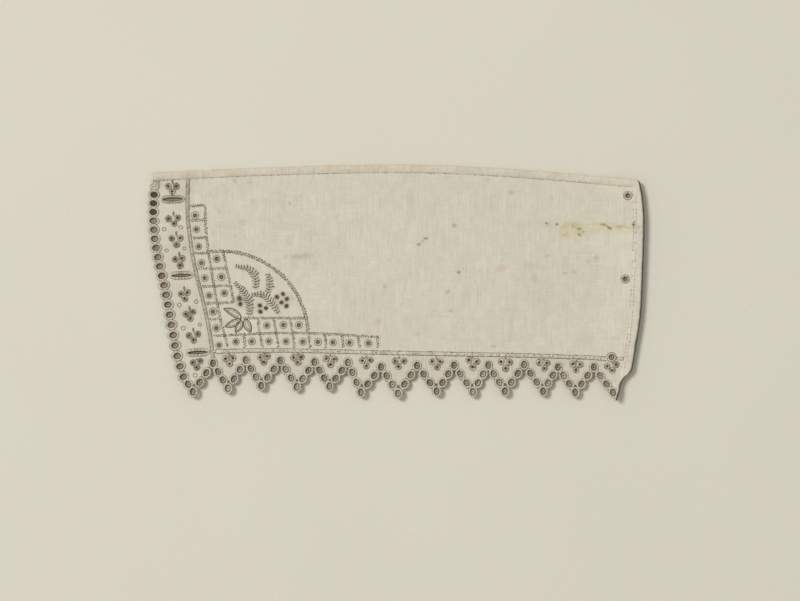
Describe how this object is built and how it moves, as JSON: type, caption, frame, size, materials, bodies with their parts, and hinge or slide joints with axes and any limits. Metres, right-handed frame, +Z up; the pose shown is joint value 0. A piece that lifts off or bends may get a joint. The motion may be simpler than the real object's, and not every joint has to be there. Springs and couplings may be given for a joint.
{
  "type": "embroidered cuff",
  "caption": "Flat cotton cuff in white cut work, lying open: eyelet-edged points, openwork seams, a scalloped buttonhole band, a bound sleeve edge and a folded hem.",
  "frame": {"origin": "the middle of the cuff's outline in plan, on the surface that it lies on", "axes": "+X along the cuff towards the plain hem, +Y from the points towards the sleeve edge, +Z up, out of the embroidered face"},
  "size_m": [0.2281, 0.1082, 0.0048],
  "materials": {
    "cotton": "matte aged cotton, fine plain weave",
    "folded_cotton": "matte aged cotton, folded double, a little warmer",
    "thread": "matte embroidery cotton, greyed with age"
  },
  "bodies": {
    "root": {"main_panel": "cotton", "button_band": "cotton", "pointed_border": "cotton", "top_binding": "folded_cotton", "right_hem": "folded_cotton", "side_seam": "thread", "lower_seam": "thread", "lower_seam_end": "thread", "edging_side": "thread", "edging_point_01": "thread", "edging_point_02": "thread", "edging_point_03": "thread", "edging_point_04": "thread", "edging_point_05": "thread", "edging_point_06": "thread", "edging_point_07": "thread", "edging_point_08": "thread", "edging_point_09": "thread", "edging_point_10": "thread", "edging_point_11": "thread", "edging_point_12": "thread", "edging_point_13": "thread", "buttonhole_1": "thread", "buttonhole_2": "thread", "buttonhole_3": "thread", "stud_eyelet_1": "thread", "stud_eyelet_2": "thread", "seam_eyelet": "thread", "corner_lattice": "thread", "fern_top": "thread", "fern_left": "thread", "fern_right": "thread", "fern_low": "thread", "leaf_upper": "thread", "leaf_lower": "thread", "leaf_middle": "thread", "leaf_inner": "thread"}
  },
  "joints": []
}
